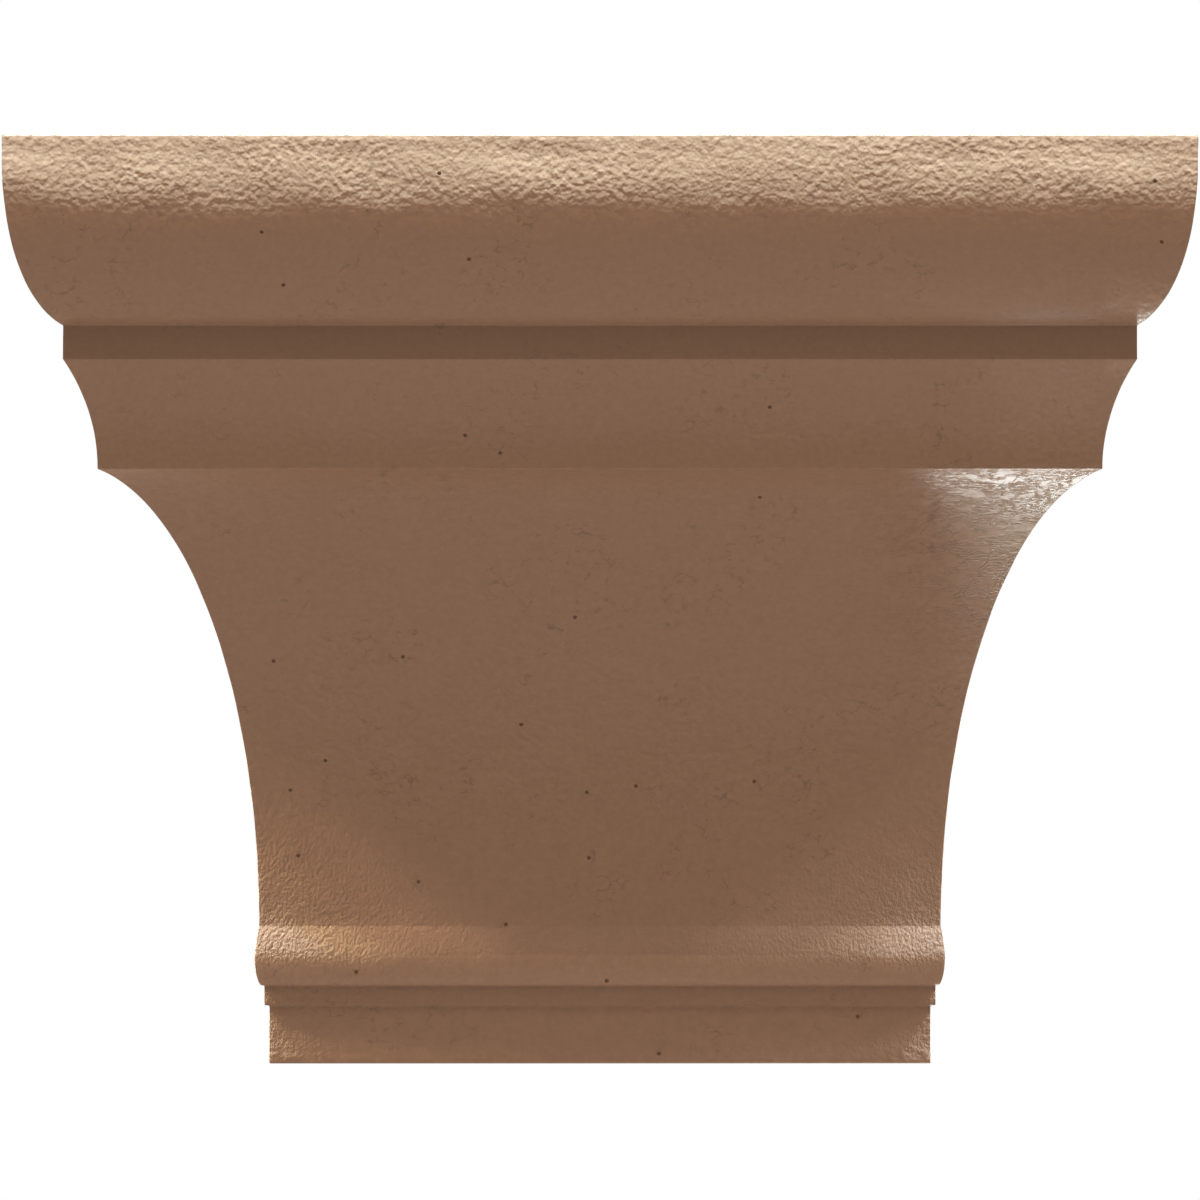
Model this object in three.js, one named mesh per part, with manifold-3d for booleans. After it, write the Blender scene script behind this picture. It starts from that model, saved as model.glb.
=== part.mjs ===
// A wall corbel cast in one piece of urethane: a stack of mouldings that steps and curves outwards from a
// narrow foot to a broad flat top. The mouldings run round the front and both sides and meet at mitres on
// the two front corners. Back, top and underside are flat.
// Millimetres, +X right, +Y into the wall, +Z up. The origin is the middle of the back face.
import * as THREE from "three";
import { mergeVertices } from "three/addons/utils/BufferGeometryUtils.js";
import Module from "manifold-3d";

// Footprint of the base block, the narrowest member. The wall face is its back.
const BASE_WIDTH = 127;
const BASE_DEPTH = 127;

// Heights of the members, from the foot up.
const BASE_HEIGHT = 11.1;
const LOWER_FILLET_HEIGHT = 3.8;
const BEAD_HEIGHT = 11.5;
const LARGE_COVE_HEIGHT = 87.6;
const SMALL_COVE_HEIGHT = 21;
const UPPER_FILLET_HEIGHT = 6.5;
const OVOLO_HEIGHT = 30.6;
const TOP_BAND_HEIGHT = 5.7;

// How far each member stands out from the base block's faces. The bead's foot is where its round starts
// over the lower fillet, and the neck is where it ends and the large cove starts.
const LOWER_FILLET_PROJECTION = 1;
const BEAD_FOOT_PROJECTION = 1.4;
const BEAD_PROJECTION = 2.85;
const NECK_PROJECTION = 2;
const LARGE_COVE_PROJECTION = 32.7;
const UPPER_FILLET_PROJECTION = 39.3;
const TOP_BAND_PROJECTION = 50.8;

// How far round its ellipse each curve goes, in degrees from the point where it stands plumb.
const LARGE_COVE_TURN = 81.5;
const SMALL_COVE_TURN = 33;
const OVOLO_TURN = 76.4;

// Steps in each curve, halved, and how far each extrusion passes the faces that the other one cuts.
const CURVE_DIVISIONS = 12;
const CUT_PASS = 10;

const CASTING_FINISH = new THREE.MeshStandardMaterial({
  color: new THREE.Color(0.51, 0.39, 0.31),
  roughness: 0.55,
  metalness: 0,
});

// Half axes of an ellipse that moves `run` sideways and `rise` upwards over `turn` from its plumb point.
function halfAxes(run, rise, turn) {
  return { across: run / (1 - Math.cos(turn)), up: rise / Math.sin(turn) };
}

// A hollow curve, plumb at its foot, from the profile's last point out to `projection`.
function addCove(profile, projection, height, turnDegrees) {
  const foot = profile.currentPoint.clone();
  const turn = THREE.MathUtils.degToRad(turnDegrees);
  const half = halfAxes(projection - foot.x, height, turn);
  profile.absellipse(foot.x + half.across, foot.y, half.across, half.up, Math.PI, Math.PI - turn, true);
}

// A swelling curve, plumb at its head, from the profile's last point out to `projection`.
function addOvolo(profile, projection, height, turnDegrees) {
  const foot = profile.currentPoint.clone();
  const turn = THREE.MathUtils.degToRad(turnDegrees);
  const half = halfAxes(projection - foot.x, height, turn);
  profile.absellipse(projection - half.across, foot.y + height, half.across, half.up, -turn, 0, false);
}

// A swelling from the profile's last point: level at its foot, plumb at its crest, and drawn back to `neck`.
function addBead(profile, crest, neck, height) {
  const foot = profile.currentPoint.clone();
  const across = crest - foot.x;
  const turn = Math.acos(1 - (crest - neck) / across);
  const up = height / (1 + Math.sin(turn));
  profile.absellipse(foot.x, foot.y + up, across, up, -Math.PI / 2, turn, false);
}

// The moulding's profile from foot to top: x is the projection from the base block, y the height.
function mouldingProfile() {
  const profile = new THREE.Path();
  const climb = (height) => profile.lineTo(profile.currentPoint.x, profile.currentPoint.y + height);
  const stepTo = (projection) => profile.lineTo(projection, profile.currentPoint.y);
  profile.moveTo(0, 0);
  climb(BASE_HEIGHT);
  stepTo(LOWER_FILLET_PROJECTION);
  climb(LOWER_FILLET_HEIGHT);
  stepTo(BEAD_FOOT_PROJECTION);
  addBead(profile, BEAD_PROJECTION, NECK_PROJECTION, BEAD_HEIGHT);
  addCove(profile, LARGE_COVE_PROJECTION, LARGE_COVE_HEIGHT, LARGE_COVE_TURN);
  addCove(profile, UPPER_FILLET_PROJECTION, SMALL_COVE_HEIGHT, SMALL_COVE_TURN);
  climb(UPPER_FILLET_HEIGHT);
  addOvolo(profile, TOP_BAND_PROJECTION, OVOLO_HEIGHT, OVOLO_TURN);
  climb(TOP_BAND_HEIGHT);
  return profile.getPoints(CURVE_DIVISIONS);
}

const PROFILE = mouldingProfile();
const TOTAL_HEIGHT = PROFILE.at(-1).y;
const TOTAL_DEPTH = BASE_DEPTH + Math.max(...PROFILE.map((point) => point.x));
const TOTAL_WIDTH = BASE_WIDTH + 2 * (TOTAL_DEPTH - BASE_DEPTH);

// Seen from the front: the profile on the right side, and its mirror image on the left.
function frontExtrusion() {
  const right = PROFILE.map((point) => new THREE.Vector2(BASE_WIDTH / 2 + point.x, point.y));
  const left = right.map((point) => new THREE.Vector2(-point.x, point.y)).reverse();
  const length = TOTAL_DEPTH + 2 * CUT_PASS;
  const geometry = new THREE.ExtrudeGeometry(new THREE.Shape([...right, ...left]), {
    depth: length,
    bevelEnabled: false,
  });
  return geometry.rotateX(Math.PI / 2).translate(0, CUT_PASS, 0);
}

// Seen from the side: the profile on the front, and the flat back in the wall's plane.
function sideExtrusion() {
  const front = PROFILE.map((point) => new THREE.Vector2(-BASE_DEPTH - point.x, point.y));
  const back = [new THREE.Vector2(0, TOTAL_HEIGHT), new THREE.Vector2(0, 0)];
  const length = TOTAL_WIDTH + 2 * CUT_PASS;
  const geometry = new THREE.ExtrudeGeometry(new THREE.Shape([...front, ...back]), {
    depth: length,
    bevelEnabled: false,
  });
  return geometry.rotateX(Math.PI / 2).rotateZ(Math.PI / 2).translate(-length / 2, 0, 0);
}

const wasm = await Module();
wasm.setup();

function toSolid(geometry) {
  geometry.deleteAttribute("normal");
  geometry.deleteAttribute("uv");
  const merged = mergeVertices(geometry, 1e-4);
  return new wasm.Manifold(
    new wasm.Mesh({
      numProp: 3,
      vertProperties: merged.attributes.position.array,
      triVerts: new Uint32Array(merged.index.array),
    }),
  );
}

function toGeometry(solid) {
  const mesh = solid.getMesh();
  const geometry = new THREE.BufferGeometry();
  geometry.setAttribute("position", new THREE.BufferAttribute(mesh.vertProperties, 3));
  geometry.setIndex(new THREE.BufferAttribute(mesh.triVerts, 1));
  geometry.computeVertexNormals();
  return geometry;
}

// What both extrusions hold is the casting, with its mitred corners.
function corbelCasting() {
  const solid = toSolid(frontExtrusion()).intersect(toSolid(sideExtrusion()));
  const mesh = new THREE.Mesh(toGeometry(solid), CASTING_FINISH);
  mesh.name = "corbel_casting";
  mesh.position.z = -TOTAL_HEIGHT / 2;
  return mesh;
}

const corbel = new THREE.Group();
corbel.add(corbelCasting());

export default corbel;
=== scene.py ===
import math

import bpy
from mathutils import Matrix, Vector


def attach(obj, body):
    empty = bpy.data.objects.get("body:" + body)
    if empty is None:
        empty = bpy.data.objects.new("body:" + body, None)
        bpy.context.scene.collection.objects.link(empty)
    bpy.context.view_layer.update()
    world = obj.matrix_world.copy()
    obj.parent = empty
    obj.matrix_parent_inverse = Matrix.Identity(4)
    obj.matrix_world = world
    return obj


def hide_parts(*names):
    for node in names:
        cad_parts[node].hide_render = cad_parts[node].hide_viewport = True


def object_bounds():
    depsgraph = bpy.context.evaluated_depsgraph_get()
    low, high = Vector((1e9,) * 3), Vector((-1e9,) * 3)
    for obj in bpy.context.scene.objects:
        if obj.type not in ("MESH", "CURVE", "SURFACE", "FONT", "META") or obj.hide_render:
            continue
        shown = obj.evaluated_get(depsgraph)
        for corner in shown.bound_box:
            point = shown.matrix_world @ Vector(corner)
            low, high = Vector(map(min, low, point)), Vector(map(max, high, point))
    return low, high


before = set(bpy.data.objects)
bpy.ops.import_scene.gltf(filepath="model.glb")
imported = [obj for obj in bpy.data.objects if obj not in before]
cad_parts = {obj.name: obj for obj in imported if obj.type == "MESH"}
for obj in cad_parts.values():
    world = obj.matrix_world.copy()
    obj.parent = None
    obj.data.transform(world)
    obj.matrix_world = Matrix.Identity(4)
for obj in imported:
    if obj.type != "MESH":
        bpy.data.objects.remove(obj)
cad_low, cad_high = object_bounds()

MM = 0.001

# Base block of the casting, the narrowest member
BASE_WIDTH = 127.0 * MM
BASE_DEPTH = 127.0 * MM

# Members from the foot up: how high each one is, how far it stands out from the base block, and for the
# curves the angle they turn through
BASE_HEIGHT = 11.1 * MM
LOWER_FILLET_HEIGHT = 3.8 * MM
LOWER_FILLET_PROJECTION = 1.0 * MM
BEAD_HEIGHT = 11.5 * MM
BEAD_FOOT_PROJECTION = 1.4 * MM
BEAD_PROJECTION = 2.85 * MM
NECK_PROJECTION = 2.0 * MM
# How near the bead's upper half comes to a straight line, where 1 is straight
BEAD_FLATNESS = 0.8
LARGE_COVE_HEIGHT = 87.6 * MM
LARGE_COVE_PROJECTION = 32.7 * MM
LARGE_COVE_TURN = math.radians(81.5)
SMALL_COVE_HEIGHT = 21.0 * MM
UPPER_FILLET_PROJECTION = 39.3 * MM
SMALL_COVE_TURN = math.radians(33)
UPPER_FILLET_HEIGHT = 6.5 * MM
OVOLO_HEIGHT = 30.6 * MM
TOP_BAND_PROJECTION = 50.8 * MM
OVOLO_TURN = math.radians(76.4)

# Casting detail: how soft its arrises are, and how fine its mesh is
ARRIS = 0.4 * MM
TOP_ARRIS = 0.1 * MM
PLAN_ARRIS = 0.15 * MM
ARRIS_STEPS = 4
ROW_STEP = 1.15 * MM
BEAD_STEP = 0.8 * MM
FRONT_COLUMNS = 150
SIDE_COLUMNS = 108
BACK_COLUMNS = 16
CAP_INSET = 3.0 * MM
WELD = 0.002 * MM
# Level steps lean by a hair, so that their rows don't fall together on the flat back.
STEP_LEAN = 0.02 * MM
# The foot and the head stay this far inside the casting's box.
MARGIN = 0.001 * MM

CASTING_HEIGHT = cad_high.z - cad_low.z - 2 * MARGIN

# Slow unevenness of the cast skin, which dies out towards its edges. Its level is where hollows start
RELIEF_DEPTH = 0.42 * MM
RELIEF_WAVE = 9.0 * MM
RELIEF_STRETCH = (0.7, 0.7, 1.0)
RELIEF_LEVEL = 0.3
RELIEF_SEED = 3.0
RELIEF_EDGE = 4.0 * MM

# Pinholes that bubbles left. Those seen from the front, as place across and height in millimetres
PINHOLE_RADIUS = 0.38 * MM
PINHOLES = (
    (-30.7, 81.6), (106.0, 80.1), (-64.6, 70.4), (107.3, 68.5), (-25.0, 65.2), (-60.5, 60.3), (32.5, 37.0),
    (-25.8, 31.6), (-19.1, 28.2), (30.6, 19.8), (-4.8, -3.2), (-37.8, -10.8), (-62.6, -11.6), (-15.1, -23.8),
    (-52.7, -30.7), (29.6, -34.7), (6.9, -35.6), (-59.4, -36.4), (-2.5, -36.8), (-57.9, -49.0), (-2.1, -49.4),
    (-34.8, -54.0), (-18.1, -62.2), (-46.8, -71.3), (1.3, -73.0), (49.5, -79.9), (11.3, -87.0),
)
PINHOLE_MARK_DISTANCE = 50.0 * MM
# The smallest and the largest share of the radius that a pinhole gets
PINHOLE_SIZES = (0.7, 1.15)
# Those on the two sides, to the square metre, and how far sideways a spot there faces at least
SIDE_PINHOLE_DENSITY = 700.0
SIDE_FACING = 0.6
PINHOLE_SEED = 4

# The primer: its colour, the greenish dark of its cracks, which also serves as painted shade inside the
# pinholes, and how matt it is, plain and in the brush's deep marks
PRIMER = (0.40, 0.265, 0.175)
CRACK_TONE_AND_PINHOLE_SHADE = (0.12, 0.10, 0.065)
ROUGHNESS = 0.39
CREASE_ROUGHNESS = 0.8

# Painted shade and painted light in level bands: painted shade in the lower fillet under the bead and in the
# upper fillet under the ovolo, painted light on the bead's lower half. Foot and head of each band, and how
# light it is there
PAINTED_LIGHT_AND_SHADE_BANDS = (
    (-77.8 * MM, -74.0 * MM, 0.90),
    (-74.0 * MM, -68.0 * MM, 1.13),
    (46.1 * MM, 52.6 * MM, 0.80),
)
BAND_EDGE = 0.5 * MM

# How light it is elsewhere: a plain part, and what the most of each kind of mark adds to it
PLAIN_TONE = 0.835
BRUSH_LINE_TONE, BRUSH_LINE, BRUSH_LINE_STRETCH = 0.06, 0.9 * MM, 0.12
PEBBLE_TONE = 0.24
CLOUD_TONE, CLOUD = 0.04, 30.0 * MM
BRUSHED_TONE = -0.10
MARK_TONE = -0.03
CRACK_SHARE = 0.4
# How far painted shade darkens the walls of the pinholes.
PINHOLE_PAINTED_SHADE = 0.35

# Cast texture under the primer: size and depth, and for what runs one way its length too
PEBBLE, PEBBLE_DEPTH = 1.25 * MM, 0.14 * MM
PEBBLE_PATCH = 20.0 * MM
BRUSHED_PEBBLES = 0.5
GRAIN, GRAIN_DEPTH = 0.6 * MM, 0.035 * MM
STREAK, STREAK_LENGTH, STREAK_DEPTH = 0.6 * MM, 0.9 * MM, 0.16 * MM
# The streaks die out between these two heights.
STREAKS_FADE = (cad_low.z + 35.0 * MM, cad_low.z + 55.0 * MM)

# The brush's marks in the primer: size, length and depth, how wide they are drawn, and how often they break
CREASE, CREASE_LENGTH, CREASE_DEPTH = 0.6 * MM, 2.2 * MM, 0.09 * MM
CREASE_WIDTH, CREASE_GAP = 0.085, 2.2 * MM
SCRATCH, SCRATCH_LENGTH, SCRATCH_DEPTH = 1.2 * MM, 7.0 * MM, 0.09 * MM
SCRATCH_WIDTH, SCRATCH_GAP = 0.05, 2.5 * MM
# The scratches slant: how much of the way round and of the way up goes into their width and their length.
SCRATCH_AXES = ((0.72, -0.5), (0.5, 0.72))
# They are deep only in the upper part of the large cove, and mostly towards the right.
COVE_HEAD = cad_low.z + BASE_HEIGHT + LOWER_FILLET_HEIGHT + BEAD_HEIGHT + LARGE_COVE_HEIGHT
BRUSHED_FROM = (-20.0 * MM, 20.0 * MM)
BRUSHED_TO = (COVE_HEAD - 0.6 * MM, COVE_HEAD + 1.4 * MM)
BRUSHED_RIGHT = (45.0 * MM, 80.0 * MM)
BRUSHED_LEFT_SHARE = 0.2

# Hair cracks: how far apart they are, how much they wander, and how large their breaks and patches are
CRACK = 2.2 * MM
CRACK_WIDTH = 0.07
CRACK_STRETCH = (0.6, 0.6, 1.0)
CRACK_SWIRL = 1.2 * CRACK
CRACK_BREAK = 2.0 * MM
CRACK_PATCH = 16.0 * MM

# Studio: light from the whole sky, strongest overhead, and the floor far below the casting
SKY = (1.35, 1.08, 0.94)
FLOOR_DROP = 0.65
FLOOR_SIDE = 5.0
FLOOR_TONE = 0.8
FLOOR_ROUGHNESS = 0.9

# Narrow strips graze the front. Name: side, fall and forward slope of its light, how far off the middle it
# points, its length, spread and power by colour. They stand a set distance off the spots they point at
STRIP_THICKNESS = 0.014
SIDE_STRIP_DISTANCE = 0.22
SIDE_STRIP_AIM = (-0.1290, -0.068)
SIDE_STRIPS = {
    "left_steep": (-1, 2.0, 0.03, 0.074, 0.05, 6, (0.0036, 0.0058, 0.0092)),
    "left_high": (-1, 1.5, 0.08, 0.0596, 0.054, 10, (0.0074, 0.0083, 0.0062)),
    "left_middle": (-1, 1.2, 0.22, 0.0593, 0.078, 9, (0.0059, 0.0045, 0.0030)),
    "left_low": (-1, 0.6, 0.03, 0.045, 0.10, 6, (0.0044, 0.0033, 0.0023)),
    "right_steep": (1, 2.0, 0.03, 0.074, 0.05, 6, (0.0044, 0.0063, 0.0090)),
    "right_high": (1, 1.5, 0.08, 0.0596, 0.054, 10, (0.0081, 0.0093, 0.0097)),
    "right_middle": (1, 1.2, 0.22, 0.0591, 0.076, 9, (0.0030, 0.0029, 0.0029)),
    "right_low": (1, 0.6, 0.03, 0.055, 0.10, 6, (0.0020, 0.0018, 0.0018)),
}

# Two rows of short strips light the top band. Name: where they stand and where they point, both as places
# before the back, then spread and power of the whole row. They stand and point at the two set heights
TOP_STRIPS = 9
TOP_STRIP_LENGTH = 0.27
TOP_STRIP_HEIGHTS = (0.149, 0.089)
TOP_ROWS = {
    "top_steep": (-0.1903, -0.1829, 6, (0.086, 0.1145, 0.1265)),
    "top_forward": (-0.1970, -0.1818, 6, (0.009, 0.006, 0.004)),
}

# Other lights: place, spot they point at, width and height, spread and power by colour
LIGHTS = {
    "glare_front": ((0.088, -0.15, -0.30), (0.085, -0.143, 0.015), (0.02, 0.03), 6, (0.0010, 0.0013, 0.0014)),
    "glare_low": ((0.10, 0.07, -0.57), (0.085, -0.155, 0.02), (0.05, 0.08), 30, (0.0200, 0.0225, 0.0230)),
    "glare_near": ((0.09, 0.11, -0.56), (0.085, -0.155, 0.02), (0.05, 0.10), 30, (0.0250, 0.0275, 0.0275)),
    "glare_far": ((0.11, 0.21, -0.52), (0.085, -0.155, 0.02), (0.10, 0.14), 30, (0.0115, 0.0140, 0.0165)),
    "left_fill": ((-0.6, 0.10, 0.45), (-0.08, 0.0, 0.0), (0.3, 0.3), 60, (0.35, 0.35, 0.35)),
    "right_fill": ((0.6, 0.10, 0.30), (0.08, 0.0, 0.0), (0.3, 0.3), 60, (0.15, 0.15, 0.15)),
    "back_fill": ((0.25, 0.8, 0.35), (0.0, 0.0, 0.0), (0.4, 0.4), 60, (0.30, 0.30, 0.30)),
}

# Camera: a long lens, and where the casting's outline lies in the photo
SENSOR = 36.0
LENS = 1500.0
PHOTO_SIDE = 1200
OUTLINE_WIDTH_PX = 1197
FOOT_ROW_PX = 1066


def half_axes(run, rise, turn):
    """Half axes of an ellipse that moves run sideways and rise upwards over turn from its plumb point."""
    return run / (1 - math.cos(turn)), rise / math.sin(turn)


def cove(foot, projection, height, turn):
    """A hollow curve, plumb at its foot."""
    across, up = half_axes(projection - foot.x, height, turn)
    steps = math.ceil(height / ROW_STEP)
    angles = [turn * step / steps for step in range(1, steps + 1)]
    return [foot + Vector((across * (1 - math.cos(a)), up * math.sin(a))) for a in angles]


def ovolo(foot, projection, height, turn):
    """A swelling curve, plumb at its head."""
    across, up = half_axes(projection - foot.x, height, turn)
    head = Vector((projection, foot.y + height))
    steps = math.ceil(height / ROW_STEP)
    angles = [turn * (1 - step / steps) for step in range(1, steps + 1)]
    return [head - Vector((across * (1 - math.cos(a)), up * math.sin(a))) for a in angles]


def bead(foot, crest, neck, height):
    """A swelling curve, level at its foot, plumb at its crest, and drawn back to a neck, nearly straight."""
    across = crest - foot.x
    turn = math.acos(1 - (crest - neck) / across)
    up = height / (1 + math.sin(turn))
    middle = foot + Vector((0, up))
    steps = math.ceil(height / BEAD_STEP)
    angles = [(turn + math.pi / 2) * step / steps - math.pi / 2 for step in range(1, steps + 1)]
    points = []
    for angle in angles:
        swell = across * math.cos(angle)
        if angle > 0:
            chord = across - (crest - neck) * math.sin(angle) / math.sin(turn)
            swell += (chord - swell) * BEAD_FLATNESS
        points.append(middle + Vector((swell, up * math.sin(angle))))
    return points


def soften(points, radius_at, closed=False):
    """The same outline with each corner turned into a small curve."""
    softened = []
    for index, corner in enumerate(points):
        if not closed and index in (0, len(points) - 1):
            softened.append(corner)
            continue
        back = points[index - 1] - corner
        ahead = points[(index + 1) % len(points)] - corner
        turn = math.pi - back.angle(ahead)
        if turn < math.radians(12):
            softened.append(corner)
            continue
        reach = min(radius_at(corner) * math.tan(turn / 2), 0.45 * back.length, 0.45 * ahead.length)
        for step in range(ARRIS_STEPS + 1):
            share = step / ARRIS_STEPS
            onto_back = back.normalized() * reach * (1 - share) ** 2
            onto_ahead = ahead.normalized() * reach * share**2
            softened.append(corner + onto_back + onto_ahead)
    return softened


def divided(points, step_for, closed=False):
    """The same outline with its long straight stretches cut into steps."""
    cut = []
    for index, point in enumerate(points):
        last = index == len(points) - 1
        if last and not closed:
            cut.append(point)
            continue
        ahead = points[(index + 1) % len(points)]
        pieces = max(1, round((ahead - point).length / step_for(point, ahead)))
        cut.extend(point.lerp(ahead, piece / pieces) for piece in range(pieces))
    return cut


def moulding_profile():
    """The moulding from underside to top, as projection and height."""
    points = [Vector((-CAP_INSET, 0)), Vector((0, 0))]

    def climb(height):
        points.append(points[-1] + Vector((0, height)))

    def step_to(projection):
        points.append(Vector((projection, points[-1].y + STEP_LEAN)))

    climb(BASE_HEIGHT)
    step_to(LOWER_FILLET_PROJECTION)
    climb(LOWER_FILLET_HEIGHT)
    step_to(BEAD_FOOT_PROJECTION)
    points.extend(bead(points[-1], BEAD_PROJECTION, NECK_PROJECTION, BEAD_HEIGHT))
    points.extend(cove(points[-1], LARGE_COVE_PROJECTION, LARGE_COVE_HEIGHT, LARGE_COVE_TURN))
    points.extend(cove(points[-1], UPPER_FILLET_PROJECTION, SMALL_COVE_HEIGHT, SMALL_COVE_TURN))
    climb(UPPER_FILLET_HEIGHT)
    points.extend(ovolo(points[-1], TOP_BAND_PROJECTION, OVOLO_HEIGHT, OVOLO_TURN))
    points.append(Vector((TOP_BAND_PROJECTION, CASTING_HEIGHT)))
    points.append(points[-1] - Vector((CAP_INSET, 0)))
    head = points[-1].y
    softened = soften(points, lambda corner: TOP_ARRIS if corner.y == head else ARRIS)
    return divided(softened, lambda point, ahead: ROW_STEP)


def base_plan():
    """The base block's outline from above, round from the back left corner."""
    half = BASE_WIDTH / 2
    left, right = Vector((-half, 0)), Vector((half, 0))
    forward = Vector((0, -BASE_DEPTH))
    corners = [left, left + forward, right + forward, right]

    def column_step(point, ahead):
        if (ahead - point).length < ROW_STEP:
            return ROW_STEP
        if abs(ahead.x - point.x) < abs(ahead.y - point.y):
            return BASE_DEPTH / SIDE_COLUMNS
        return BASE_WIDTH / (FRONT_COLUMNS if point.y < -BASE_DEPTH / 2 else BACK_COLUMNS)

    return divided(soften(corners, lambda corner: PLAN_ARRIS, closed=True), column_step, closed=True)


def outline_object(name, points):
    """Points in order, as an object that a node tree can read."""
    mesh = bpy.data.meshes.new(name)
    mesh.from_pydata(points, [(i, i + 1) for i in range(len(points) - 1)], [])
    outline = bpy.data.objects.new(name, mesh)
    bpy.context.scene.collection.objects.link(outline)
    return outline


def profile_object():
    """The profile at its height in the casting: x is the projection, y how far a cap's ring is drawn in."""
    placed = []
    for point in moulding_profile():
        if point.x < 0:
            place = (0.0, -point.x, point.y)
        elif point.y > CASTING_HEIGHT - TOP_ARRIS:
            place = (TOP_BAND_PROJECTION, TOP_BAND_PROJECTION - point.x, point.y)
        else:
            place = (point.x, 0.0, point.y)
        placed.append(Vector(place) + Vector((0, 0, cad_low.z + MARGIN)))
    # The first and last rows are drawn in to one point by the node tree.
    placed = [placed[0], *placed, placed[-1]]
    outline = outline_object("moulding_profile", placed)
    run = outline.data.attributes.new("run", "FLOAT", "POINT")
    length = 0.0
    for index, place in enumerate(placed):
        length += (place - placed[max(index - 1, 0)]).length
        run.data[index].value = length
    return outline


def plan_object():
    return outline_object("base_plan", [(point.x, point.y, 0) for point in base_plan()])


def add_node(tree, kind, inputs=None, **options):
    """Adds a node, sets its options and fills its inputs with values or links."""
    node = tree.nodes.new(kind)
    for option, value in options.items():
        setattr(node, option, value)
    for key, value in (inputs or {}).items():
        named = [s for s in node.inputs if s.enabled and s.name == key]
        socket = node.inputs[key] if isinstance(key, int) else named[0]
        if isinstance(value, bpy.types.NodeSocket):
            tree.links.new(value, socket)
        else:
            socket.default_value = value
    return node


def maths(tree, operation, *values):
    return add_node(tree, "ShaderNodeMath", dict(enumerate(values)), operation=operation).outputs[0]


def product(tree, *values):
    total = values[0]
    for value in values[1:]:
        total = maths(tree, "MULTIPLY", total, value)
    return total


def summed(tree, *values):
    total = values[0]
    for value in values[1:]:
        total = maths(tree, "ADD", total, value)
    return total


def vector_maths(tree, operation, *values):
    return add_node(tree, "ShaderNodeVectorMath", dict(enumerate(values)), operation=operation).outputs[0]


def scaled_vector(tree, vector, factor):
    return add_node(tree, "ShaderNodeVectorMath", {0: vector, 3: factor}, operation="SCALE").outputs[0]


def combined(tree, x, y, z):
    return add_node(tree, "ShaderNodeCombineXYZ", {0: x, 1: y, 2: z}).outputs[0]


def separated(tree, vector):
    return add_node(tree, "ShaderNodeSeparateXYZ", {0: vector}).outputs


def remapped(tree, value, low, high, to_low=0.0, to_high=1.0):
    """A soft step: to_low where value is under low, to_high where it is over high."""
    sockets = {"Value": value, "From Min": low, "From Max": high, "To Min": to_low, "To Max": to_high}
    return add_node(tree, "ShaderNodeMapRange", sockets, interpolation_type="SMOOTHSTEP").outputs[0]


def geometry_tree(name, inputs):
    """A tree with a geometry input and the named inputs of these kinds, and the sockets that give them."""
    tree = bpy.data.node_groups.new(name, "GeometryNodeTree")
    tree.interface.new_socket("Geometry", in_out="OUTPUT", socket_type="NodeSocketGeometry")
    tree.interface.new_socket("Geometry", in_out="INPUT", socket_type="NodeSocketGeometry")
    for label, kind in inputs.items():
        tree.interface.new_socket(label, in_out="INPUT", socket_type="NodeSocket" + kind)
    return tree, tree.nodes.new("NodeGroupInput").outputs


def finish_tree(tree, geometry, finish):
    """Ends a tree with real geometry in its finish."""
    real = add_node(tree, "GeometryNodeRealizeInstances", {"Geometry": geometry}).outputs[0]
    painted = add_node(tree, "GeometryNodeSetMaterial", {"Geometry": real, "Material": finish}).outputs[0]
    tree.links.new(painted, tree.nodes.new("NodeGroupOutput").inputs[0])


def apply_tree(source, tree, values, name):
    """Runs a tree on an object and returns the result as a plain mesh object of its own."""
    modifier = source.modifiers.new(tree.name, "NODES")
    modifier.node_group = tree
    for item in tree.interface.items_tree:
        if item.in_out == "INPUT" and item.name in values:
            modifier[item.identifier] = values[item.name]
    bpy.context.view_layer.update()
    evaluated = source.evaluated_get(bpy.context.evaluated_depsgraph_get())
    mesh = bpy.data.meshes.new_from_object(evaluated)
    mesh.name = name
    source.modifiers.remove(modifier)
    while mesh.materials and mesh.materials[0] is None:
        mesh.materials.pop(index=0)
    made = bpy.data.objects.new(name, mesh)
    bpy.context.scene.collection.objects.link(made)
    return made


def sampled(tree, geometry, value, index, data_type="FLOAT_VECTOR"):
    """The value that the geometry's point at that index has."""
    sockets = {"Geometry": geometry, "Value": value, "Index": index}
    return add_node(tree, "GeometryNodeSampleIndex", sockets, data_type=data_type, domain="POINT").outputs[0]


def stored(tree, geometry, name, value, data_type):
    sockets = {"Geometry": geometry, "Name": name, "Value": value}
    options = {"data_type": data_type, "domain": "POINT"}
    return add_node(tree, "GeometryNodeStoreNamedAttribute", sockets, **options).outputs[0]


def named_attribute(tree, name, data_type):
    return add_node(tree, "GeometryNodeInputNamedAttribute", {"Name": name}, data_type=data_type).outputs[0]


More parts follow.
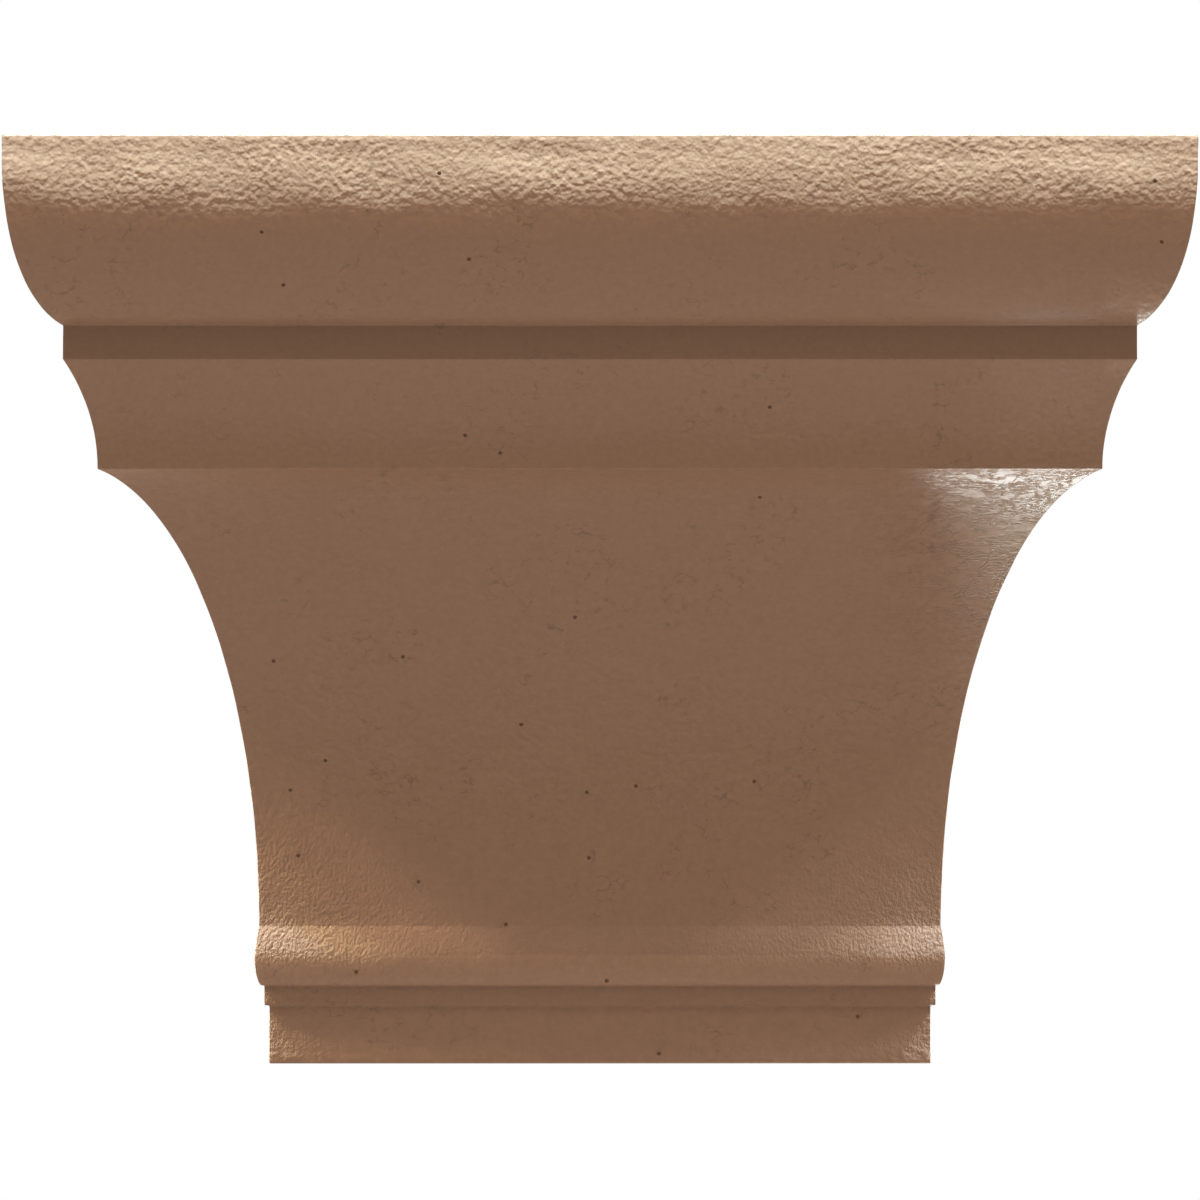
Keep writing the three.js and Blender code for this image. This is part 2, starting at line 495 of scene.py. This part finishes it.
def mitred_moulding_tree():
    """Carries the profile round the plan. Each row is the plan, grown by the row's projection, so that the
    corners come out mitred, and the first and last rows close the two caps."""
    tree, given = geometry_tree(
        "mitred_moulding",
        {
            "Plan": "Object",
            "Base Width": "Float",
            "Base Depth": "Float",
            "Relief Edge": "Float",
            "Finish": "Material",
        },
    )
    profile = given["Geometry"]
    plan = add_node(tree, "GeometryNodeObjectInfo", {"Object": given["Plan"]}).outputs["Geometry"]
    rows = add_node(tree, "GeometryNodeAttributeDomainSize", {"Geometry": profile}).outputs["Point Count"]
    columns = add_node(tree, "GeometryNodeAttributeDomainSize", {"Geometry": plan}).outputs["Point Count"]
    size = {"Vertices X": maths(tree, "ADD", columns, 1.0), "Vertices Y": rows}
    sheet = add_node(tree, "GeometryNodeMeshGrid", size).outputs["Mesh"]

    index = tree.nodes.new("GeometryNodeInputIndex").outputs[0]
    column = maths(tree, "FLOOR", maths(tree, "DIVIDE", index, rows))
    row = maths(tree, "SUBTRACT", index, product(tree, column, rows))
    position = tree.nodes.new("GeometryNodeInputPosition").outputs[0]
    around = separated(tree, sampled(tree, plan, position, maths(tree, "MODULO", column, columns)))
    upwards = separated(tree, sampled(tree, profile, position, row))
    run = sampled(tree, profile, named_attribute(tree, "run", "FLOAT"), row, "FLOAT")
    projection, inset, height = upwards

    reach = maths(tree, "SUBTRACT", projection, inset)
    wide = maths(tree, "ADD", 1.0, maths(tree, "DIVIDE", product(tree, 2.0, reach), given["Base Width"]))
    in_front = maths(tree, "SUBTRACT", reach, inset)
    deep = maths(tree, "ADD", 1.0, maths(tree, "DIVIDE", in_front, given["Base Depth"]))
    x = product(tree, around[0], wide)
    y = maths(tree, "SUBTRACT", product(tree, around[1], deep), inset)
    total_depth = maths(tree, "ADD", given["Base Depth"], projection)
    middle = combined(tree, 0.0, product(tree, total_depth, -0.5), height)
    at_foot = maths(tree, "LESS_THAN", row, 0.5)
    at_head = maths(tree, "GREATER_THAN", row, maths(tree, "SUBTRACT", rows, 1.5))
    at_end = maths(tree, "ADD", at_foot, at_head)
    ends = {0: at_end, 4: combined(tree, x, y, height), 5: middle}
    place = add_node(tree, "ShaderNodeMix", ends, data_type="VECTOR").outputs[1]

    # Where a spot lies on the skin: round the casting from the front's middle, and up the profile.
    beyond = maths(tree, "ADD", y, total_depth)
    side = maths(tree, "SIGN", around[0])
    along = maths(tree, "ADD", x, product(tree, side, beyond))

    # How much of the cast relief a spot gets: none on the back, the top and the underside or at their edges.
    off_cap = remapped(tree, inset, 0.0, ARRIS, 1.0, 0.0)
    off_back = remapped(tree, product(tree, y, -1.0), 0.0, given["Relief Edge"])
    off_head = remapped(tree, maths(tree, "SUBTRACT", cad_high.z, height), 0.0, given["Relief Edge"])
    off_foot = remapped(tree, maths(tree, "SUBTRACT", height, cad_low.z), 0.0, given["Relief Edge"])
    relief = product(tree, off_cap, off_back, off_head, off_foot)

    shaped = add_node(tree, "GeometryNodeSetPosition", {"Geometry": sheet, "Position": place}).outputs[0]
    shaped = stored(tree, shaped, "skin", combined(tree, along, run, relief), "FLOAT_VECTOR")
    closed = add_node(tree, "GeometryNodeMergeByDistance", {"Geometry": shaped, "Distance": WELD}).outputs[0]
    smooth = add_node(tree, "GeometryNodeSetShadeSmooth", {"Geometry": closed}).outputs[0]
    finish_tree(tree, smooth, given["Finish"])
    return tree


def cast_relief_tree():
    """Sinks the skin by a slow unevenness, as a mould finished by hand leaves it."""
    tree, given = geometry_tree(
        "cast_relief",
        {"Depth": "Float", "Wave": "Float", "Seed": "Float", "Finish": "Material"},
    )
    place = tree.nodes.new("GeometryNodeInputPosition").outputs[0]
    normal = tree.nodes.new("GeometryNodeInputNormal").outputs[0]
    share = separated(tree, named_attribute(tree, "skin", "FLOAT_VECTOR"))[2]
    settings = {
        "Vector": stretched(tree, place, RELIEF_STRETCH),
        "W": given["Seed"],
        "Scale": maths(tree, "DIVIDE", 1.0, given["Wave"]),
        "Detail": 1.0,
    }
    waves = add_node(tree, "ShaderNodeTexNoise", settings, noise_dimensions="4D").outputs[0]
    hollows = maths(tree, "MAXIMUM", maths(tree, "SUBTRACT", waves, RELIEF_LEVEL), 0.0)
    offset = scaled_vector(tree, normal, product(tree, hollows, share, given["Depth"], -1.0))
    moved = {"Geometry": given["Geometry"], "Offset": offset}
    sunk = add_node(tree, "GeometryNodeSetPosition", moved).outputs[0]
    finish_tree(tree, sunk, given["Finish"])
    return tree


def pinholes_tree():
    """Sinks small round holes, as bubbles leave them: marked ones in front, strewn ones on the sides."""
    tree, given = geometry_tree(
        "pinholes",
        {
            "Marks": "Object",
            "Radius": "Float",
            "Side Density": "Float",
            "Seed": "Int",
            "Finish": "Material",
        },
    )
    skin = given["Geometry"]
    marks = add_node(tree, "GeometryNodeObjectInfo", {"Object": given["Marks"]}).outputs["Geometry"]
    points = add_node(tree, "GeometryNodeMeshToPoints", {"Mesh": marks}).outputs[0]
    straight_back = {"Target Geometry": skin, "Ray Direction": (0.0, 1.0, 0.0), "Ray Length": 1.0}
    hit = add_node(tree, "GeometryNodeRaycast", straight_back).outputs["Hit Position"]
    marked = add_node(tree, "GeometryNodeSetPosition", {"Geometry": points, "Position": hit}).outputs[0]
    sideways = separated(tree, tree.nodes.new("GeometryNodeInputNormal").outputs[0])[0]
    on_sides = maths(tree, "GREATER_THAN", maths(tree, "ABSOLUTE", sideways), SIDE_FACING)
    strewing = {
        "Mesh": skin,
        "Selection": on_sides,
        "Density": given["Side Density"],
        "Seed": given["Seed"],
    }
    strewn = add_node(tree, "GeometryNodeDistributePointsOnFaces", strewing).outputs["Points"]
    places = tree.nodes.new("GeometryNodeJoinGeometry")
    tree.links.new(marked, places.inputs[0])
    tree.links.new(strewn, places.inputs[0])
    round_ball = {"Radius": given["Radius"], "Subdivisions": 3}
    ball = add_node(tree, "GeometryNodeMeshIcoSphere", round_ball).outputs[0]
    smallest, largest = PINHOLE_SIZES
    random_size = {2: smallest, 3: largest, "Seed": given["Seed"]}
    size = add_node(tree, "FunctionNodeRandomValue", random_size, data_type="FLOAT").outputs[1]
    set_out = {"Points": places.outputs[0], "Instance": ball, "Scale": combined(tree, size, size, size)}
    balls = add_node(tree, "GeometryNodeInstanceOnPoints", set_out).outputs[0]
    balls = add_node(tree, "GeometryNodeRealizeInstances", {"Geometry": balls}).outputs[0]
    balls = stored(tree, balls, "pinhole", 1.0, "FLOAT")
    cutting = {"Mesh 1": skin, "Mesh 2": balls}
    options = {"operation": "DIFFERENCE", "solver": "MANIFOLD"}
    sunk = add_node(tree, "GeometryNodeMeshBoolean", cutting, **options).outputs
    rims = {"Geometry": sunk["Mesh"], "Selection": sunk["Intersecting Edges"], "Shade Smooth": False}
    crisp = add_node(tree, "GeometryNodeSetShadeSmooth", rims, domain="EDGE").outputs[0]
    finish_tree(tree, crisp, given["Finish"])
    return tree


def pinhole_marks():
    """The front's pinholes as points before the casting, each level with its place."""
    before = cad_low.y - PINHOLE_MARK_DISTANCE
    marks = [(across * MM, before, height * MM) for across, height in PINHOLES]
    return outline_object("pinhole_marks", marks)


def casting(finish):
    """The whole casting as one closed mesh."""
    profile, plan = profile_object(), plan_object()
    sizes = {
        "Plan": plan,
        "Base Width": BASE_WIDTH,
        "Base Depth": BASE_DEPTH,
        "Relief Edge": RELIEF_EDGE,
        "Finish": finish,
    }
    smooth_casting = apply_tree(profile, mitred_moulding_tree(), sizes, "smooth_casting")
    relief = {"Depth": RELIEF_DEPTH, "Wave": RELIEF_WAVE, "Seed": RELIEF_SEED, "Finish": finish}
    uneven_casting = apply_tree(smooth_casting, cast_relief_tree(), relief, "uneven_casting")
    marks = pinhole_marks()
    holes = {
        "Marks": marks,
        "Radius": PINHOLE_RADIUS,
        "Side Density": SIDE_PINHOLE_DENSITY,
        "Seed": PINHOLE_SEED,
        "Finish": finish,
    }
    cast = apply_tree(uneven_casting, pinholes_tree(), holes, "corbel_skin")
    for helper in (profile, plan, marks, smooth_casting, uneven_casting):
        bpy.data.objects.remove(helper)
    return cast


def shader_noise(tree, vector, size, detail, roughness=0.5):
    """Noise whose features are about size across where vector is in metres."""
    sockets = {"Vector": vector, "Scale": 1.0 / size, "Detail": detail, "Roughness": roughness}
    return add_node(tree, "ShaderNodeTexNoise", sockets).outputs[0]


def stretched(tree, vector, factors):
    return vector_maths(tree, "MULTIPLY", vector, factors)


def lifted(tree, vector, amount):
    """The same coordinates moved off, so that two textures of one size don't agree."""
    return vector_maths(tree, "ADD", vector, (amount, amount * 0.7, amount * 0.3))


def patches(tree, vector, size, detail, low, high):
    """Patches about size apart: 1 where noise passes high, 0 where it is under low."""
    return remapped(tree, shader_noise(tree, vector, size, detail), low, high)


def cast_height(tree, place, skin, brushed):
    """Height of the cast texture in metres: pebbles, flatter where brushed, grain, and streaks low down."""
    along, run, shown = separated(tree, skin)
    height_up = separated(tree, place)[2]
    low_down = product(tree, remapped(tree, height_up, *STREAKS_FADE, 1.0, 0.0), shown)
    coarse = remapped(tree, shader_noise(tree, place, PEBBLE_PATCH, 1.0), 0.35, 0.65, 0.8, 1.2)
    smoothed = maths(tree, "MAXIMUM", low_down, brushed)
    flatter = remapped(tree, smoothed, 0.0, 1.0, 1.0, BRUSHED_PEBBLES)
    pebbles = product(tree, shader_noise(tree, place, PEBBLE, 0.6), PEBBLE_DEPTH, coarse, flatter)
    grain = product(tree, shader_noise(tree, lifted(tree, place, 0.2), GRAIN, 0.0), GRAIN_DEPTH)
    streaked_to = combined(tree, along, product(tree, run, STREAK / STREAK_LENGTH), 0.0)
    streaks = product(tree, shader_noise(tree, streaked_to, STREAK, 1.0, 0.7), STREAK_DEPTH, low_down)
    return summed(tree, pebbles, grain, streaks)


def thin_lines(tree, vector, size, width):
    """Wandering thin lines, 1 on a line and 0 off it, about size apart where vector is in metres."""
    away = maths(tree, "ABSOLUTE", maths(tree, "SUBTRACT", shader_noise(tree, vector, size, 2.0, 0.6), 0.5))
    return remapped(tree, away, 0.0, width, 1.0, 0.0)


def brush_marks(tree, skin):
    """The brush's marks in the primer: short level creases, and a few slanting scratches across them."""
    along, run, _ = separated(tree, skin)
    level = combined(tree, product(tree, along, CREASE / CREASE_LENGTH), run, 0.0)
    creases = thin_lines(tree, level, CREASE, CREASE_WIDTH)
    broken = combined(tree, product(tree, along, 0.5), run, 0.3)
    creases = product(tree, creases, patches(tree, broken, CREASE_GAP, 1.0, 0.36, 0.5))
    across, down = (
        summed(tree, product(tree, along, sideways), product(tree, run, upwards))
        for sideways, upwards in SCRATCH_AXES
    )
    slanting = combined(tree, across, product(tree, down, SCRATCH / SCRATCH_LENGTH), 0.7)
    scratches = thin_lines(tree, slanting, SCRATCH, SCRATCH_WIDTH)
    scratches = product(tree, scratches, patches(tree, slanting, SCRATCH_GAP, 1.0, 0.56, 0.66))
    return creases, scratches


def crack_marks(tree, place):
    """Where the primer has hair cracks: broken short lines in patches, 1 in a crack and 0 off it."""
    swirl_inputs = {"Vector": place, "Scale": 1 / CRACK, "Detail": 3.0}
    swirl = add_node(tree, "ShaderNodeTexNoise", swirl_inputs).outputs["Color"]
    pushed = scaled_vector(tree, swirl, CRACK_SWIRL)
    wandering = vector_maths(tree, "ADD", stretched(tree, place, CRACK_STRETCH), pushed)
    cells = {"Vector": wandering, "Scale": 1 / CRACK}
    edges = add_node(tree, "ShaderNodeTexVoronoi", cells, feature="DISTANCE_TO_EDGE").outputs["Distance"]
    lines = remapped(tree, edges, 0.0, CRACK_WIDTH, 1.0, 0.0)
    unbroken = patches(tree, lifted(tree, place, 0.4), CRACK_BREAK, 2.0, 0.5, 0.62)
    cracked = patches(tree, lifted(tree, place, 0.9), CRACK_PATCH, 2.0, 0.5, 0.6)
    return product(tree, lines, unbroken, cracked)


def brushed_part(tree, place, skin):
    """Where the brush went deep: in the large cove's upper part, most of all at the right."""
    height_up = separated(tree, place)[2]
    along = separated(tree, skin)[0]
    above = remapped(tree, height_up, *BRUSHED_FROM)
    below = remapped(tree, height_up, *BRUSHED_TO, 1.0, 0.0)
    to_right = remapped(tree, along, *BRUSHED_RIGHT, BRUSHED_LEFT_SHARE, 1.0)
    return product(tree, above, below, to_right)


def primer_tone(tree, place, skin, marks, deep_marks):
    """How light the primer is: brush lines, pebbles, clouds and marks, and the bands of painted shade and
    painted light.
    """
    along, run, shown = separated(tree, skin)
    height_up = separated(tree, place)[2]
    lines = combined(tree, product(tree, along, BRUSH_LINE_STRETCH), run, 0.0)
    tone = summed(
        tree,
        PLAIN_TONE,
        product(tree, shader_noise(tree, lines, BRUSH_LINE, 3.0, 0.7), BRUSH_LINE_TONE),
        product(tree, shader_noise(tree, place, PEBBLE, 2.0, 0.6), PEBBLE_TONE),
        product(tree, shader_noise(tree, place, CLOUD, 2.0), CLOUD_TONE),
        product(tree, deep_marks, BRUSHED_TONE),
        product(tree, marks, MARK_TONE),
    )
    # Painted shade in the two fillets and painted light on the bead's lower half, in level bands.
    for low, high, lightness in PAINTED_LIGHT_AND_SHADE_BANDS:
        above = remapped(tree, height_up, low - BAND_EDGE, low + BAND_EDGE)
        below = remapped(tree, height_up, high - BAND_EDGE, high + BAND_EDGE, 1.0, 0.0)
        in_band = product(tree, shown, above, below)
        tone = product(tree, tone, remapped(tree, in_band, 0.0, 1.0, 1.0, lightness))
    return tone


def primed_finish():
    """Tan primer over the cast skin: pebbled all over, brushed and streaked in places, cracked in patches."""
    finish = bpy.data.materials.new("tan_primer")
    finish.use_nodes = True
    tree = finish.node_tree
    tree.nodes.clear()
    place = tree.nodes.new("ShaderNodeTexCoord").outputs["Object"]
    skin = add_node(tree, "ShaderNodeAttribute", attribute_name="skin").outputs["Vector"]
    in_pinhole = add_node(tree, "ShaderNodeAttribute", attribute_name="pinhole").outputs["Fac"]
    shown = separated(tree, skin)[2]

    cracks = product(tree, crack_marks(tree, place), shown)
    creases, scratches = (product(tree, mark, shown) for mark in brush_marks(tree, skin))
    brushed = brushed_part(tree, place, skin)
    furrows = summed(tree, product(tree, creases, CREASE_DEPTH), product(tree, scratches, SCRATCH_DEPTH))
    height = summed(tree, cast_height(tree, place, skin, brushed), product(tree, furrows, brushed, -1.0))
    bump = add_node(tree, "ShaderNodeBump", {"Strength": 1.0, "Distance": 1.0, "Height": height}).outputs[0]

    marks = maths(tree, "MAXIMUM", creases, scratches)
    deep_marks = product(tree, marks, brushed)
    shade = scaled_vector(tree, PRIMER, primer_tone(tree, place, skin, marks, deep_marks))
    in_cracks = product(tree, cracks, CRACK_SHARE)
    # The cracks take their own dark colour; the pinholes take the same colour as painted shade.
    dark = maths(tree, "MAXIMUM", in_cracks, product(tree, in_pinhole, PINHOLE_PAINTED_SHADE))
    tones = {0: dark, 6: shade, 7: (*CRACK_TONE_AND_PINHOLE_SHADE, 1.0)}
    colour = add_node(tree, "ShaderNodeMix", tones, data_type="RGBA").outputs[2]
    roughness = remapped(tree, deep_marks, 0.0, 1.0, ROUGHNESS, CREASE_ROUGHNESS)
    settings = {"Base Color": colour, "Roughness": roughness, "IOR": 1.5, "Normal": bump}
    shader = add_node(tree, "ShaderNodeBsdfPrincipled", settings)
    tree.links.new(shader.outputs[0], tree.nodes.new("ShaderNodeOutputMaterial").inputs[0])
    return finish


def place_camera():
    """A level front view from far off, so that it is almost without perspective, as the photo is."""
    camera_data = bpy.data.cameras.new("front_camera")
    camera_data.sensor_width = SENSOR
    camera_data.lens = LENS
    camera = bpy.data.objects.new("front_camera", camera_data)
    shown_width = (cad_high.x - cad_low.x) * PHOTO_SIDE / OUTLINE_WIDTH_PX
    middle_height = cad_low.z + (FOOT_ROW_PX - PHOTO_SIDE / 2) * shown_width / PHOTO_SIDE
    camera.location = (0, cad_low.y - shown_width * LENS / SENSOR, middle_height)
    camera.rotation_euler = (math.radians(90), 0, 0)
    camera_data.clip_end = 100
    bpy.context.scene.collection.objects.link(camera)
    bpy.context.scene.camera = camera


def place_light(name, lit, place, aim, size, spread, power):
    """A rectangular light that shows in no view itself and lights what is in lit. Its width lies level."""
    lamp = bpy.data.lights.new(name, "AREA")
    lamp.shape = "RECTANGLE"
    lamp.size, lamp.size_y = size
    lamp.spread = math.radians(spread)
    lamp.energy = max(power)
    lamp.color = [share / max(power) for share in power]
    lamp.cycles.max_bounces = 0
    light = bpy.data.objects.new(name, lamp)
    light.location = place
    light.rotation_euler = (Vector(aim) - Vector(place)).to_track_quat("-Z", "Y").to_euler()
    light.visible_camera = False
    light.light_linking.receiver_collection = lit
    bpy.context.scene.collection.objects.link(light)


def side_strip(side, fall, forward, across, length, spread, power):
    """A strip beside the casting, whose light runs down along its front from that side."""
    heading = Vector((-side, forward, -fall)).normalized()
    aim = Vector((side * across, *SIDE_STRIP_AIM))
    return aim - heading * SIDE_STRIP_DISTANCE, aim, (STRIP_THICKNESS, length), spread, power


def top_row(before, aim, spread, power):
    """A row of strips, end to end, whose light runs down along the top band."""
    size = (TOP_STRIP_LENGTH / TOP_STRIPS, STRIP_THICKNESS)
    start, end = TOP_STRIP_HEIGHTS
    share = [part / TOP_STRIPS for part in power]
    for index in range(TOP_STRIPS):
        across = (index - (TOP_STRIPS - 1) / 2) * size[0]
        yield (across, before, start), (across, aim, end), size, spread, share


def light_casting(cast):
    """All the lamps. They light the casting alone and leave the floor plain."""
    lit = bpy.data.collections.new("lit_by_lamps")
    lit.objects.link(cast)
    for name, setting in LIGHTS.items():
        place_light(name, lit, *setting)
    for name, setting in TOP_ROWS.items():
        for index, strip in enumerate(top_row(*setting)):
            place_light(f"{name}_{index}", lit, *strip)
    for name, setting in SIDE_STRIPS.items():
        place_light(name, lit, *side_strip(*setting))


def studio_world():
    """White to look at, while the light that falls on the casting comes from above, brightest overhead."""
    world = bpy.data.worlds.new("studio")
    world.use_nodes = True
    tree = world.node_tree
    tree.nodes.clear()
    seen = tree.nodes.new("ShaderNodeLightPath").outputs["Is Camera Ray"]
    height = separated(tree, tree.nodes.new("ShaderNodeTexCoord").outputs["Generated"])[2]
    overhead = maths(tree, "MAXIMUM", height, 0.0)
    falling = {"Color": (*SKY, 1.0), "Strength": overhead}
    around = add_node(tree, "ShaderNodeBackground", falling).outputs[0]
    white = {"Color": (1.0, 1.0, 1.0, 1.0), "Strength": 1.0}
    behind = add_node(tree, "ShaderNodeBackground", white).outputs[0]
    both = add_node(tree, "ShaderNodeMixShader", {0: seen, 1: around, 2: behind}).outputs[0]
    tree.links.new(both, tree.nodes.new("ShaderNodeOutputWorld").inputs[0])
    # The sky is even enough to be found by chance, which leaves the aimed rays to the narrow strips.
    world.cycles.sampling_method = "NONE"
    bpy.context.scene.world = world


def studio_floor():
    """A plain pale floor, well below the casting."""
    half = FLOOR_SIDE / 2
    drop = cad_low.z - FLOOR_DROP
    mesh = bpy.data.meshes.new("studio_floor")
    corners = [(-half, -half, drop), (half, -half, drop), (half, half, drop), (-half, half, drop)]
    mesh.from_pydata(corners, [], [(0, 1, 2, 3)])
    matt = bpy.data.materials.new("pale_floor")
    matt.use_nodes = True
    shader = matt.node_tree.nodes["Principled BSDF"]
    shader.inputs["Base Color"].default_value = (FLOOR_TONE, FLOOR_TONE, FLOOR_TONE, 1.0)
    shader.inputs["Roughness"].default_value = FLOOR_ROUGHNESS
    mesh.materials.append(matt)
    floor = bpy.data.objects.new("studio_floor", mesh)
    bpy.context.scene.collection.objects.link(floor)
    return floor


finish = primed_finish()
corbel = casting(finish)
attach(corbel, "root")
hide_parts("corbel_casting")
studio_floor()
place_camera()
studio_world()
light_casting(corbel)
bpy.context.scene.view_settings.view_transform = "Standard"
